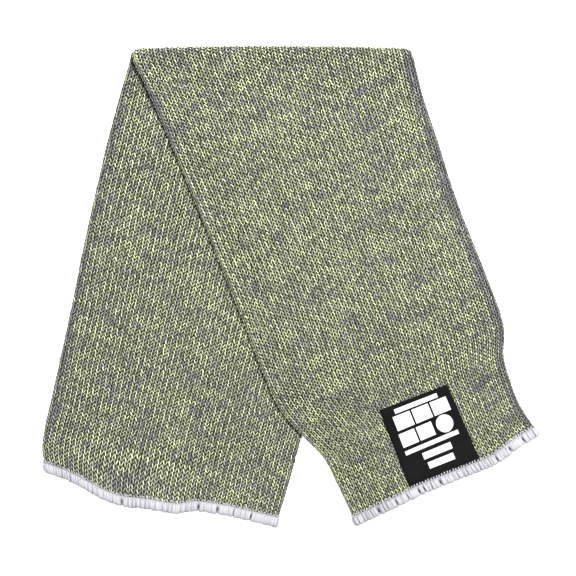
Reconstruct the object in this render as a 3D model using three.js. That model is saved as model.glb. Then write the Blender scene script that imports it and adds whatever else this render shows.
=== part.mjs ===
// A cut resistant work sleeve: a knitted tube, folded in half crosswise and laid flat.
// Each mouth has an overlocked hem round its raw edge, and a woven label lies by the wrist.
// Millimetres, +Z up. The fold runs along X and both halves run towards -Y.
// The back half lies on the surface, and the front half lies on it and partly beside it.

import * as THREE from 'three';
import { mergeVertices } from 'three/addons/utils/BufferGeometryUtils.js';

const RADIAN = Math.PI / 180;

// The knitted tube
const SLEEVE_LENGTH = 457;
const FOLD_WIDTH = 138;
const WALL = 1.6;

// The space inside the flattened tube: pressed shut in the fold, fuller in the halves,
// and held a little wider by the hems
const FOLD_HOLLOW = 1;
const HOLLOW = 6;
const MOUTH_EXTRA_HOLLOW = 1.6;
const HOLLOW_RUN = 56;
const MOUTH_RUN = 27;

// How the sleeve lies: the lean of each half from the fold's square, the turn of each hem
// from the fold, and how the front half comes down beside the back one
const BACK_LEAN = -13.9;
const FRONT_LEAN = 22.4;
const ARM_HEM_TURN = -13;
const WRIST_HEM_TURN = 25.9;
const FOLD_DOME = 1.2;
const DOME_RUN = 50;
const HALVES_GAP = 1;
const DRAPE_RUN = 30;

// Waves in the line of each mouth, and the ripples that the hems' thread gathers above them
const ARM_WAVE = 7;
const WRIST_WAVE = 3.5;
const ARM_GATHER = 0.6;
const WRIST_GATHER = 0.15;
const GATHER_PITCH = 24;
const GATHER_RUN = 24;

// Overlock hems
const HEM_DEPTH = 4.8;
const HEM_THREAD = 0.5;
const HEM_CLEARANCE = 0.3;

// Woven label
const LABEL_WIDTH = 34.5;
const LABEL_LENGTH = 38;
const LABEL_THICKNESS = 0.5;
const LABEL_CLEARANCE = 0.35;

// Fineness of the faceted walls
const FLAT_FACETS = 18;
const SIDE_FACETS = 4;
const BEND_FACETS = 8;
const HALF_FACETS = 20;
const LABEL_FACETS = 5;

// Side edges of each half. "along" is the share of the half's run from the fold to the mouth,
// "left" and "right" are shares of FOLD_WIDTH from the half's centre line.
const BACK_EDGES = [
  { along: 0.00, left: -0.492, right: 0.512 },
  { along: 0.20, left: -0.492, right: 0.495 },
  { along: 0.40, left: -0.484, right: 0.479 },
  { along: 0.60, left: -0.469, right: 0.465 },
  { along: 0.80, left: -0.458, right: 0.453 },
  { along: 0.94, left: -0.449, right: 0.437 },
  { along: 1.00, left: -0.413, right: 0.430 },
];
const FRONT_EDGES = [
  { along: 0.00, left: -0.498, right: 0.493 },
  { along: 0.10, left: -0.487, right: 0.465 },
  { along: 0.25, left: -0.474, right: 0.438 },
  { along: 0.40, left: -0.467, right: 0.414 },
  { along: 0.60, left: -0.464, right: 0.403 },
  { along: 0.68, left: -0.465, right: 0.398 },
  { along: 0.74, left: -0.458, right: 0.386 },
  { along: 0.80, left: -0.423, right: 0.348 },
  { along: 0.86, left: -0.380, right: 0.339 },
  { along: 0.92, left: -0.360, right: 0.336 },
  { along: 1.00, left: -0.359, right: 0.352 },
];

// Waves of each mouth. "across" is the share of the local width from the middle,
// "reach" is the share of the mouth's wave by which the edge lies further out.
const ARM_MOUTH = [
  { across: -0.50, reach: 0.00 },
  { across: -0.38, reach: 0.20 },
  { across: -0.24, reach: 0.80 },
  { across: -0.15, reach: 1.00 },
  { across: -0.04, reach: 0.80 },
  { across: 0.08, reach: 0.65 },
  { across: 0.15, reach: 0.20 },
  { across: 0.30, reach: 0.00 },
  { across: 0.50, reach: 0.10 },
];
const WRIST_MOUTH = [
  { across: -0.50, reach: 0.40 },
  { across: -0.29, reach: 0.25 },
  { across: -0.12, reach: 0.12 },
  { across: 0.11, reach: 0.57 },
  { across: 0.24, reach: 1.00 },
  { across: 0.30, reach: 0.70 },
  { across: 0.36, reach: 0.35 },
  { across: 0.50, reach: -0.10 },
];

// Worked out sizes
const FOLD_THICKNESS = FOLD_HOLLOW + 2 * WALL;
const BEND_RADIUS = (FOLD_THICKNESS + HALVES_GAP) / 2;
const BEND_HEIGHT = FOLD_THICKNESS / 2 + BEND_RADIUS;
const BEND_HALF = (Math.PI * BEND_RADIUS) / 2;
const HALF_RUN = SLEEVE_LENGTH / 2 - BEND_HALF;
const HEM_LIFT = HEM_CLEARANCE + HEM_THREAD;
const BEND_DRIFT = Math.tan(((FRONT_LEAN - BACK_LEAN) / 2) * RADIAN);

const BACK = {
  lean: BACK_LEAN * RADIAN,
  turn: ARM_HEM_TURN * RADIAN,
  edges: BACK_EDGES,
  mouth: ARM_MOUTH,
  wave: ARM_WAVE,
  gather: ARM_GATHER,
  outward: -1,
  startX: -BEND_HALF * BEND_DRIFT,
};
const FRONT = {
  lean: FRONT_LEAN * RADIAN,
  turn: WRIST_HEM_TURN * RADIAN,
  edges: FRONT_EDGES,
  mouth: WRIST_MOUTH,
  wave: WRIST_WAVE,
  gather: WRIST_GATHER,
  outward: 1,
  startX: BEND_HALF * BEND_DRIFT,
};

// A smooth curve through one column of a table
function readTable(rows, placeColumn, valueColumn, place) {
  const at = THREE.MathUtils.clamp(place, rows[0][placeColumn], rows.at(-1)[placeColumn]);
  let row = 0;
  while (row < rows.length - 2 && at > rows[row + 1][placeColumn]) {
    row += 1;
  }
  const from = rows[row];
  const to = rows[row + 1];
  const before = rows[row - 1] ?? from;
  const after = rows[row + 2] ?? to;
  const step = to[placeColumn] - from[placeColumn];
  const slopeFrom = (to[valueColumn] - before[valueColumn]) / (to[placeColumn] - before[placeColumn]);
  const slopeTo = (after[valueColumn] - from[valueColumn]) / (after[placeColumn] - from[placeColumn]);
  const s = (at - from[placeColumn]) / step;
  const s2 = s * s;
  const s3 = s2 * s;
  return (2 * s3 - 3 * s2 + 1) * from[valueColumn] + (s3 - 2 * s2 + s) * step * slopeFrom
    + (3 * s2 - 2 * s3) * to[valueColumn] + (s3 - s2) * step * slopeTo;
}

// Rises smoothly from 0 at the start to 1 after the run
function rise(value, start, run) {
  return THREE.MathUtils.smoothstep(value, start, start + run);
}

// Distance from the fold as a share of the half's run, 0 anywhere on the bend
function alongOf(travel) {
  return Math.max(0, Math.abs(travel) - BEND_HALF) / HALF_RUN;
}

function thicknessAt(along) {
  const depth = along * HALF_RUN;
  const opened = FOLD_HOLLOW + (HOLLOW - FOLD_HOLLOW) * rise(depth, 0, HOLLOW_RUN);
  return opened + MOUTH_EXTRA_HOLLOW * rise(depth, HALF_RUN - MOUTH_RUN, MOUTH_RUN) + 2 * WALL;
}

// The hem's thread passes under the tube, so the tube is lifted by it before the hem starts
function liftAt(along) {
  const beforeHem = HALF_RUN - 3 * HEM_DEPTH;
  return HEM_LIFT * rise(along * HALF_RUN, beforeHem, 1.5 * HEM_DEPTH);
}

// The straight line across a half at a share of its run
function sectionAt(half, along) {
  const run = along * HALF_RUN;
  const angle = half.turn * along;
  const left = readTable(half.edges, 'along', 'left', along) * FOLD_WIDTH;
  const right = readTable(half.edges, 'along', 'right', along) * FOLD_WIDTH;
  return {
    x: half.startX + Math.sin(half.lean) * run,
    y: -Math.cos(half.lean) * run,
    cos: Math.cos(angle),
    sin: Math.sin(angle),
    left,
    right,
    width: right - left,
    middle: (left + right) / 2,
    thickness: thicknessAt(along),
  };
}

// The back half's section that passes through a point of the plan
function backAlongAt(x, y) {
  let low = 0;
  let high = 1.3;
  for (let step = 0; step < 24; step += 1) {
    const along = (low + high) / 2;
    const section = sectionAt(BACK, along);
    const above = (y - section.y) * section.cos - (x - section.x) * section.sin;
    if (above > 0) {
      high = along;
    } else {
      low = along;
    }
  }
  return (low + high) / 2;
}

// Height that carries the front half: the back half's top, falling to the surface beside it
function restHeight(x, y) {
  const along = backAlongAt(x, y);
  const section = sectionAt(BACK, along);
  const across = (x - section.x) * section.cos + (y - section.y) * section.sin;
  const carried = 1 - rise(across, section.right, DRAPE_RUN);
  return carried * (section.thickness + HALVES_GAP);
}

// A point of the tube. "travel" is the length along the tube from the middle of the fold,
// below 0 on the back half. "ring" places it round the flattened tube, "inset" is its depth
// under the outer face, below 0 for what lies on the tube.
function tubePoint(travel, ring, inset) {
  const half = travel < 0 ? BACK : FRONT;
  const along = alongOf(travel);
  const section = sectionAt(half, along);
  const halfHeight = section.thickness / 2;
  const across = ring.flat * (section.width / 2 - halfHeight) + ring.bulge * (halfHeight - inset);
  const share = across / section.width;
  const offset = ring.side * (halfHeight - inset);
  const dome = FOLD_DOME * 4 * share * share * (1 - rise(along * HALF_RUN, 0, DOME_RUN));

  if (along === 0) {
    const angle = travel / BEND_RADIUS;
    return new THREE.Vector3(
      travel * BEND_DRIFT + section.middle + across,
      (BEND_RADIUS + offset) * Math.cos(angle) - dome,
      BEND_HEIGHT + (BEND_RADIUS + offset) * Math.sin(angle),
    );
  }

  const reach = half.wave * readTable(half.mouth, 'across', 'reach', share)
    * rise(along * HALF_RUN, HALF_RUN - MOUTH_RUN, MOUTH_RUN);
  const sideways = section.middle + across;
  const x = section.x + sideways * section.cos + reach * Math.sin(half.lean);
  const y = section.y + sideways * section.sin - reach * Math.cos(half.lean) - dome;

  const upper = Math.max(0, ring.side * half.outward);
  const gather = half.gather * rise(along * HALF_RUN, HALF_RUN - GATHER_RUN, GATHER_RUN)
    * Math.cos((across / GATHER_PITCH) * 2 * Math.PI) * upper;
  const rest = half === FRONT ? restHeight(x, y) : 0;
  const z = rest + liftAt(along) + halfHeight + half.outward * offset + gather;
  return new THREE.Vector3(x, y, z);
}

// Places round the flattened tube: one flat side, a rounded side fold, the other flat side
// and the other side fold
function makeRing() {
  const ring = [];
  for (const side of [1, -1]) {
    for (let i = 0; i <= FLAT_FACETS; i += 1) {
      ring.push({ flat: side * (1 - (2 * i) / FLAT_FACETS), bulge: 0, side });
    }
    for (let i = 1; i < SIDE_FACETS; i += 1) {
      const angle = (i / SIDE_FACETS) * Math.PI;
      ring.push({ flat: -side, bulge: -side * Math.sin(angle), side: side * Math.cos(angle) });
    }
  }
  return ring;
}

const RING = makeRing();

// Lengths along the tube at which it has a section, from the upper arm to the wrist.
// The last section before each mouth is where the hem starts.
function makeStations() {
  const stations = [];
  for (let i = 0; i < HALF_FACETS; i += 1) {
    stations.push(BEND_HALF + ((HALF_RUN - HEM_DEPTH) * (i + 1)) / HALF_FACETS);
  }
  stations.push(BEND_HALF + HALF_RUN);
  const bend = [];
  for (let i = 0; i <= BEND_FACETS; i += 1) {
    bend.push(-BEND_HALF + (2 * BEND_HALF * i) / BEND_FACETS);
  }
  return [...stations.map((travel) => -travel).reverse(), ...bend, ...stations];
}

const STATIONS = makeStations();

// A closed ring-shaped solid whose loops join up both ways, turned so that its faces point out
function ringSolid(loops) {
  const around = loops[0].length;
  const positions = loops.flatMap((loop) => loop.flatMap((point) => [point.x, point.y, point.z]));
  const faces = [];
  loops.forEach((loop, i) => {
    const next = (i + 1) % loops.length;
    for (let k = 0; k < around; k += 1) {
      const side = (k + 1) % around;
      const a = i * around + k;
      const b = i * around + side;
      const c = next * around + side;
      const d = next * around + k;
      faces.push([a, b, c], [a, c, d]);
    }
  });
  const corner = (index) => new THREE.Vector3().fromArray(positions, index * 3);
  const volume = faces.reduce(
    (sum, [a, b, c]) => sum + corner(a).dot(corner(b).cross(corner(c))),
    0,
  );
  const turned = volume < 0 ? faces.map(([a, b, c]) => [a, c, b]) : faces;
  const geometry = new THREE.BufferGeometry();
  geometry.setAttribute('position', new THREE.Float32BufferAttribute(positions, 3));
  geometry.setIndex(turned.flat());
  return geometry;
}

function piece(name, geometry, colour, roughness) {
  const material = new THREE.MeshStandardMaterial({ color: colour, roughness, metalness: 0 });
  const mesh = new THREE.Mesh(geometry, material);
  mesh.name = name;
  return mesh;
}

// The knitted tube: its outer wall from mouth to mouth, then its inner wall back
function makeKnitTube() {
  const outer = STATIONS.map((travel) => RING.map((ring) => tubePoint(travel, ring, 0)));
  const inner = STATIONS.map((travel) => RING.map((ring) => tubePoint(travel, ring, WALL)));
  return piece('knit_tube', ringSolid([...outer, ...inner.reverse()]), 0x92957e, 0.95);
}

// Section of an overlock hem: it wraps the wall's raw edge. "out" is measured from the middle
// of the wall and "past" from the raw edge.
function hemProfile() {
  const inner = WALL / 2 + HEM_CLEARANCE;
  const outer = inner + HEM_THREAD;
  const seat = HEM_CLEARANCE;
  const lip = HEM_CLEARANCE + HEM_THREAD;
  const start = lip - HEM_DEPTH;
  return [
    { out: outer, past: start },
    { out: outer, past: seat },
    { out: inner, past: lip },
    { out: -inner, past: lip },
    { out: -outer, past: seat },
    { out: -outer, past: start },
    { out: -inner, past: start },
    { out: -inner, past: seat },
    { out: inner, past: seat },
    { out: inner, past: start },
  ];
}

function makeHem(name, mouth, before) {
  const profile = hemProfile();
  const loops = profile.map(() => []);
  for (const ring of RING) {
    const outerEdge = tubePoint(mouth, ring, 0);
    const innerEdge = tubePoint(mouth, ring, WALL);
    const edge = outerEdge.clone().add(innerEdge).multiplyScalar(0.5);
    const outward = outerEdge.clone().sub(innerEdge).normalize();
    const past = outerEdge.clone().sub(tubePoint(before, ring, 0)).normalize();
    profile.forEach((place, i) => {
      const point = edge.clone().addScaledVector(outward, place.out);
      loops[i].push(point.addScaledVector(past, place.past));
    });
  }
  return piece(name, ringSolid(loops), 0xeeedf0, 0.8);
}

// The label: a thin plate that follows the front half's top and ends where the hem starts
function makeLabel() {
  const plate = new THREE.BoxGeometry(
    LABEL_WIDTH, LABEL_LENGTH, LABEL_THICKNESS, LABEL_FACETS, LABEL_FACETS, 1,
  );
  plate.deleteAttribute('normal');
  plate.deleteAttribute('uv');
  const geometry = mergeVertices(plate);
  const corners = geometry.getAttribute('position');
  const end = BEND_HALF + HALF_RUN - HEM_DEPTH - LABEL_CLEARANCE;
  for (let i = 0; i < corners.count; i += 1) {
    const travel = end - LABEL_LENGTH / 2 - corners.getY(i);
    const section = sectionAt(FRONT, alongOf(travel));
    const flatHalf = (section.width - section.thickness) / 2;
    const flat = (corners.getX(i) - section.middle) / flatHalf;
    const above = LABEL_CLEARANCE + LABEL_THICKNESS / 2 + corners.getZ(i);
    const point = tubePoint(travel, { flat, bulge: 0, side: 1 }, -above);
    corners.setXYZ(i, point.x, point.y, point.z);
  }
  return piece('label', geometry, 0x1f1e20, 0.5);
}

const sleeve = new THREE.Group();
sleeve.add(
  makeKnitTube(),
  makeHem('upper_arm_hem', STATIONS.at(0), STATIONS.at(1)),
  makeHem('wrist_hem', STATIONS.at(-1), STATIONS.at(-2)),
  makeLabel(),
);

// The origin is the middle of the underside of the whole sleeve's box
const box = new THREE.Box3().setFromObject(sleeve);
sleeve.position.set(-(box.min.x + box.max.x) / 2, -(box.min.y + box.max.y) / 2, -box.min.z);

export default sleeve;
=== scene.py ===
# %% [markdown]
# # A cut resistant sleeve, folded in half
#
# The sleeve is taken to be one seamless knitted tube about 457 mm long. Its yarn is a marl, a
# lime yellow strand and a grey one twisted together. White overlock thread binds both mouths,
# and a small black woven label sits by the wrist. It lies on a table, folded crosswise, and is
# seen from straight above.
#
# The imported model is loaded first, because every piece has to fit its solids. Its box is kept,
# so that the map can be fitted to it.

# %% Load the frame
import math

import bpy
import numpy as np
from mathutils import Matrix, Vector


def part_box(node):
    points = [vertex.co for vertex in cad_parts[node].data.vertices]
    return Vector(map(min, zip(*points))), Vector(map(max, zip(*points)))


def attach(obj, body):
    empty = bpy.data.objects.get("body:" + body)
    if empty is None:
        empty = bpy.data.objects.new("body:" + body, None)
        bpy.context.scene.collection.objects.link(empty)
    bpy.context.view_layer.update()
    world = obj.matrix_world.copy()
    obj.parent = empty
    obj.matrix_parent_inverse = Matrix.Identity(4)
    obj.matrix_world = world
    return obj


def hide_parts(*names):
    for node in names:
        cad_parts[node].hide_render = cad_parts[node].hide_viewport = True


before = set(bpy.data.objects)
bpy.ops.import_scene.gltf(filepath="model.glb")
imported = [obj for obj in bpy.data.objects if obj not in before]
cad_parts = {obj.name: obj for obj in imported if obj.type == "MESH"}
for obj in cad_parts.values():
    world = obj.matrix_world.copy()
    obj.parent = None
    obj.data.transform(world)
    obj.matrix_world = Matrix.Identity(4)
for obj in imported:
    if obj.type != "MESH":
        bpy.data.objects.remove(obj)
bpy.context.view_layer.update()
MM = 0.001

# %% [markdown]
# ## Camera, table and light
#
# The photograph looks straight down, and no perspective shows in it. A camera 1.5 m up sees the
# frame through a long lens, worked out from the width of the table that the photograph covers.
# A white table under broad soft light gives the pure white ground of a catalogue picture. One
# lamp is stronger and stands beyond the fold and to the right. It lays a thin line of shadow
# along the left edge of the upper half.

# %% Camera
FRAME_WIDTH = 0.2834
CAMERA_HEIGHT = 1.5
CAMERA_Y = -0.0005
SLEEVE_MIDDLE_HEIGHT = 0.009
SENSOR_WIDTH = 36

camera_data = bpy.data.cameras.new("camera")
camera_data.sensor_width = SENSOR_WIDTH
camera_data.lens = SENSOR_WIDTH * (CAMERA_HEIGHT - SLEEVE_MIDDLE_HEIGHT) / FRAME_WIDTH
camera_data.clip_end = 20
camera = bpy.data.objects.new("camera", camera_data)
bpy.context.scene.collection.objects.link(camera)
camera.location = (0, CAMERA_Y, CAMERA_HEIGHT)
bpy.context.scene.camera = camera
print("lens", round(camera_data.lens, 1), "mm")


# %% Helpers for the stage
def deselect():
    """Operators act on all that is selected, and a freshly loaded frame is selected."""
    if bpy.context.mode != "OBJECT":
        bpy.ops.object.mode_set(mode="OBJECT")
    bpy.ops.object.select_all(action="DESELECT")


def soft_lamp(name, place, size, watts):
    """A square area lamp that faces the middle of the table."""
    deselect()
    bpy.ops.object.light_add(type="AREA", location=place)
    lamp = bpy.context.object
    lamp.name = name
    lamp.data.size = size
    lamp.data.energy = watts
    lamp.rotation_euler = (-Vector(place)).to_track_quat("-Z", "Y").to_euler()


# %% Light
SKY_STRENGTH = 0.3

scene = bpy.context.scene
scene.view_settings.view_transform = "Standard"
scene.view_settings.look = "None"

soft_lamp("key_lamp", place=(0.7, 1.3, 3.05), size=0.9, watts=250)
soft_lamp("overhead_lamp", place=(0.0, 0.0, 2.6), size=2.0, watts=8)

sky = bpy.data.worlds.new("white_room")
scene.world = sky
sky.use_nodes = True
background = sky.node_tree.nodes["Background"]
background.inputs["Color"].default_value = (1, 1, 1, 1)
background.inputs["Strength"].default_value = SKY_STRENGTH


# %% [markdown]
# ## Materials: two helpers
#
# Colours are written as sRGB hex values, as in any paint program. They were set by comparing
# renders with the tones of the photograph. Shaders reckon in linear light, so one function
# converts them. The other adds a node with its settings and its links in one call, which keeps
# each recipe short enough to read.

# %% Colour and node helpers
def linear(hex_colour):
    """An sRGB hex colour as linear red, green, blue and alpha."""
    channels = [int(hex_colour[i : i + 2], 16) / 255 for i in (1, 3, 5)]
    return [c / 12.92 if c <= 0.04045 else ((c + 0.055) / 1.055) ** 2.4 for c in channels] + [1]


def add_node(tree, kind, settings=None, **inputs):
    """Adds a node. Settings are its own properties, inputs are values or sockets to link."""
    node = tree.nodes.new(kind)
    for key, value in (settings or {}).items():
        setattr(node, key, value)
    for key, value in inputs.items():
        name = key.replace("_", " ")
        socket = node.inputs[int(key[1:])] if key[0] == "i" and key[1:].isdigit() else node.inputs[name]
        if isinstance(value, bpy.types.NodeSocket):
            tree.links.new(value, socket)
        else:
            socket.default_value = value
    return node


def new_material(name):
    """A named material with an empty Principled shader, and its node tree."""
    material = bpy.data.materials.new(name)
    material.use_nodes = True
    return material, material.node_tree, material.node_tree.nodes["Principled BSDF"]


# %% [markdown]
# The table is a sheet of white acrylic lit from below, as catalogue photographers use to lose
# the shadow around a thing. It glows a little by itself and catches the lamps for the rest.

# %% Table
TABLE_WIDTH = 4.0
TABLE_GLOW = 0.85

table_material, tree, shader = new_material("lit_acrylic")
shader.inputs["Base Color"].default_value = linear("#f4f4f4")
shader.inputs["Roughness"].default_value = 0.6
shader.inputs["Emission Color"].default_value = linear("#ffffff")
shader.inputs["Emission Strength"].default_value = TABLE_GLOW

deselect()
bpy.ops.mesh.primitive_plane_add(size=TABLE_WIDTH)
table = bpy.context.object
table.name = "table"
table.data.materials.append(table_material)

# %% [markdown]
# ## The fold
#
# Everything on this sleeve follows the same bent surface: the cloth, every stitch in it, the
# hem threads and the label. So the shape is written once, as a map from the tube to the table.
# A point of the tube is given by how far it lies along the sleeve, how far round the tube it
# is, and how high over the outer face. The map flattens the tube, bends it over the fold, leans
# the two halves apart, and lays the upper half over the lower one and down beside it. In the
# bend it goes over from the lower half's section to the upper half's.
#
# Cloth simulation could drop a tube on a table too, but it would not land on this outline. The
# outline is in the solids already, so the map starts from their sizes and tables. A few of its
# values differ from theirs by a few millimetres, where a render showed the photograph's outline
# to lie elsewhere.

# %% Sizes of the sleeve, in millimetres
SLEEVE_LENGTH = 457
FOLD_WIDTH = 138
WALL = 1.6
FOLD_HOLLOW = 1
HOLLOW = 6
MOUTH_EXTRA_HOLLOW = 1.6
HOLLOW_RUN = 56
MOUTH_RUN = 27
FOLD_DOME = 1.2
DOME_RUN = 50
HALVES_GAP = 1
DRAPE_RUN = 30
SETTLE = 0.9
SETTLE_RUN = 30
HEM_DEPTH = 4.8
HEM_THREAD = 0.5
HEM_CLEARANCE = 0.3
GATHER_PITCH = 24
GATHER_RUN = 24

FOLD_THICKNESS = FOLD_HOLLOW + 2 * WALL
BEND_RADIUS = (FOLD_THICKNESS + HALVES_GAP) / 2
BEND_HEIGHT = FOLD_THICKNESS / 2 + BEND_RADIUS
BEND_HALF = math.pi * BEND_RADIUS / 2
HALF_RUN = SLEEVE_LENGTH / 2 - BEND_HALF
HEM_LIFT = HEM_CLEARANCE + HEM_THREAD

# Along its side folds the cloth lies pressed flatter than in the middle, and swells inwards.
# Away from the fold the upper half settles closer to the lower one. The fold's two corners are
# rounded, and a soft crease runs above the upper arm's hem.
EDGE_THICKNESS = 3.1
SWELL_RUN = 22
FOLD_BULGE = 0.5
CORNER_DROP = 1.8
CORNER_RUN = 14
CORNER_START = 0.465
CORNER_SPREAD = 0.05
CREASE_DEPTH = 0.7
CREASE_PLACE = 20
CREASE_WIDTH = 3.2
CREASE_SLANT = 5

# %% How each half lies
# Edges are shares of the fold's width, read at shares of the half's run from fold to mouth.
# The mouth's reach is a share of its wave, read at shares of the width from the middle.
BACK = {
    "lean": math.radians(-13.9),
    "turn": math.radians(-13),
    "along": [0, 0.2, 0.4, 0.6, 0.8, 0.94, 1],
    "left": [-0.492, -0.492, -0.484, -0.469, -0.458, -0.449, -0.413],
    "right": [0.512, 0.495, 0.479, 0.465, 0.453, 0.445, 0.436],
    "across": [-0.5, -0.38, -0.24, -0.15, -0.04, 0.08, 0.15, 0.3, 0.5],
    "reach": [0, 0.2, 0.8, 1, 0.8, 0.65, 0.2, 0, 0.1],
    "wave": 7,
    "gather": 0.6,
    "crease": 1,
    "outward": -1,
}
FRONT = {
    "lean": math.radians(22.4),
    "turn": math.radians(25.9),
    "along": [0, 0.1, 0.25, 0.4, 0.6, 0.68, 0.74, 0.8, 0.86, 0.92, 1],
    "left": [-0.498, -0.487, -0.474, -0.467, -0.464, -0.465, -0.458, -0.423, -0.38, -0.37, -0.362],
    "right": [0.51, 0.478, 0.45, 0.426, 0.415, 0.41, 0.398, 0.36, 0.348, 0.346, 0.37],
    "across": [-0.5, -0.29, -0.12, 0.11, 0.24, 0.3, 0.36, 0.5],
    "reach": [0.7, 0.6, 0.6, 1.05, 1.3, 1.1, 0.75, 0.4],
    "wave": 3.5,
    "gather": 0.15,
    "crease": 0,
    "outward": 1,
}
BEND_DRIFT = math.tan((FRONT["lean"] - BACK["lean"]) / 2)


# %% Reading a table as a smooth curve
def rise(value, start, run):
    """Rises smoothly from 0 at the start to 1 after the run."""
    share = np.clip((value - start) / run, 0, 1)
    return share * share * (3 - 2 * share)


def read_curve(places, values, at):
    """A smooth curve through the table's points, for an array of places."""
    x = np.array(places, float)
    y = np.array(values, float)
    slopes = np.empty_like(y)
    slopes[1:-1] = (y[2:] - y[:-2]) / (x[2:] - x[:-2])
    slopes[0] = (y[1] - y[0]) / (x[1] - x[0])
    slopes[-1] = (y[-1] - y[-2]) / (x[-1] - x[-2])
    at = np.clip(at, x[0], x[-1])
    row = np.clip(np.searchsorted(x, at, side="right") - 1, 0, len(x) - 2)
    step = x[row + 1] - x[row]
    s = (at - x[row]) / step
    return (
        (2 * s**3 - 3 * s**2 + 1) * y[row]
        + (s**3 - 2 * s**2 + s) * step * slopes[row]
        + (3 * s**2 - 2 * s**3) * y[row + 1]
        + (s**3 - s**2) * step * slopes[row + 1]
    )


# %% Sections of the flattened tube
def section(half, along):
    """The straight line across a half at shares of its run: centre, turn, width, thickness."""
    run = along * HALF_RUN
    left = read_curve(half["along"], half["left"], along) * FOLD_WIDTH
    right = read_curve(half["along"], half["right"], along) * FOLD_WIDTH
    hollow = FOLD_HOLLOW + (HOLLOW - FOLD_HOLLOW) * rise(run, 0, HOLLOW_RUN)
    hollow = hollow + MOUTH_EXTRA_HOLLOW * rise(run, HALF_RUN - MOUTH_RUN, MOUTH_RUN)
    return {
        "x": half["outward"] * BEND_HALF * BEND_DRIFT + math.sin(half["lean"]) * run,
        "y": -math.cos(half["lean"]) * run,
        "cos": np.cos(half["turn"] * along),
        "sin": np.sin(half["turn"] * along),
        "right": right,
        "width": right - left,
        "middle": (left + right) / 2,
        "thickness": hollow + 2 * WALL,
        "edge": FOLD_THICKNESS + (EDGE_THICKNESS - FOLD_THICKNESS) * rise(run, 0, SETTLE_RUN),
    }


HALVINGS = 16
SEARCH_TO = 1.3


def rest_height(x, y):
    """Height that carries the upper half: the lower half's top, falling to the table beside it.

    It halves the range in which the lower half's section through the point can lie.
    """
    low = np.zeros_like(x)
    high = np.full_like(x, SEARCH_TO)
    for _ in range(HALVINGS):
        along = (low + high) / 2
        line = section(BACK, along)
        above = (y - line["y"]) * line["cos"] - (x - line["x"]) * line["sin"] > 0
        high = np.where(above, along, high)
        low = np.where(above, low, along)
    along = (low + high) / 2
    line = section(BACK, along)
    across = (x - line["x"]) * line["cos"] + (y - line["y"]) * line["sin"]
    gap = HALVES_GAP - SETTLE * rise(along * HALF_RUN, 0, SETTLE_RUN)
    swell = rise(line["right"] - across, line["edge"] / 2, SWELL_RUN)
    top = line["edge"] + (line["thickness"] - line["edge"]) * swell
    return (1 - rise(across, line["right"], DRAPE_RUN)) * (top + gap)


# %% The map from the tube to the table
def place_on_ring(line, around, height):
    """Across, side and outward distances at shares of the way round the flattened tube.

    The way round starts at the middle of the face that ends up on top of the upper half.
    """
    flat = line["width"] - line["edge"]
    end = np.pi * line["edge"] / 2
    s = (around * 2 * (flat + end) + flat / 2) % (2 * (flat + end))
    radius = line["edge"] / 2 + height
    turn_left = np.clip((s - flat) / end, 0, 1) * np.pi
    turn_right = np.clip((s - 2 * flat - end) / end, 0, 1) * np.pi
    across = flat / 2 - np.clip(s, 0, flat) + np.clip(s - flat - end, 0, flat)
    across = across + (np.sin(turn_right) - np.sin(turn_left)) * radius
    side = np.where(s < flat + end, np.cos(turn_left), -np.cos(turn_right))
    return across, side, side * radius


def half_points(half, travel, around, height, waves):
    """Row frame points in millimetres for one half. Waves is how much the mouth waves, 0 to 1."""
    along = (np.abs(travel) - BEND_HALF) / HALF_RUN
    line = section(half, along)
    across, side, offset = place_on_ring(line, around, height)
    run = along * HALF_RUN
    share = across / line["width"]
    dome = FOLD_DOME * 4 * share**2 * (1 - rise(run, 0, DOME_RUN))
    corner = CORNER_DROP * rise(np.abs(share), CORNER_START, CORNER_SPREAD)
    dome = dome + corner * (1 - rise(run, 0, CORNER_RUN))
    reach = waves * half["wave"] * read_curve(half["across"], half["reach"], share)
    reach = reach * rise(run, HALF_RUN - MOUTH_RUN, MOUTH_RUN)
    sideways = line["middle"] + across
    x = line["x"] + sideways * line["cos"] + reach * math.sin(half["lean"])
    y = line["y"] + sideways * line["sin"] - reach * math.cos(half["lean"]) - dome
    on_top = np.clip(side * half["outward"], 0, 1)
    gather = half["gather"] * rise(run, HALF_RUN - GATHER_RUN, GATHER_RUN)
    gather = gather * np.cos(across / GATHER_PITCH * 2 * np.pi)
    swell = rise(line["width"] / 2 - np.abs(across), line["edge"] / 2, SWELL_RUN)
    swell = swell * (line["thickness"] - line["edge"])
    off_crease = HALF_RUN - run - CREASE_PLACE + CREASE_SLANT * share
    crease = np.exp(-((off_crease / CREASE_WIDTH) ** 2))
    swell = swell - half["crease"] * CREASE_DEPTH * crease
    lift = HEM_LIFT * rise(run, HALF_RUN - 3 * HEM_DEPTH, 1.5 * HEM_DEPTH)
    rest = rest_height(x, y) if half is FRONT else 0
    z = rest + lift + line["edge"] / 2 + half["outward"] * offset + (gather + swell) * on_top
    return np.stack([x, y, z], axis=-1)


def bend_points(travel, around, height):
    """Row frame points in millimetres for the bend between the halves."""
    back, front = section(BACK, np.zeros_like(travel)), section(FRONT, np.zeros_like(travel))
    over = rise(travel, -BEND_HALF, 2 * BEND_HALF)
    line = {key: back[key] * (1 - over) + front[key] * over for key in back}
    across, _, offset = place_on_ring(line, around, height)
    share = across / line["width"]
    angle = travel / BEND_RADIUS
    x = travel * BEND_DRIFT + line["middle"] + across
    y = (BEND_RADIUS + FOLD_BULGE + offset) * np.cos(angle) - FOLD_DOME * 4 * share**2
    y = y - CORNER_DROP * rise(np.abs(share), CORNER_START, CORNER_SPREAD)
    z = BEND_HEIGHT + (BEND_RADIUS + offset) * np.sin(angle)
    return np.stack([x, y, z], axis=-1)


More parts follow.
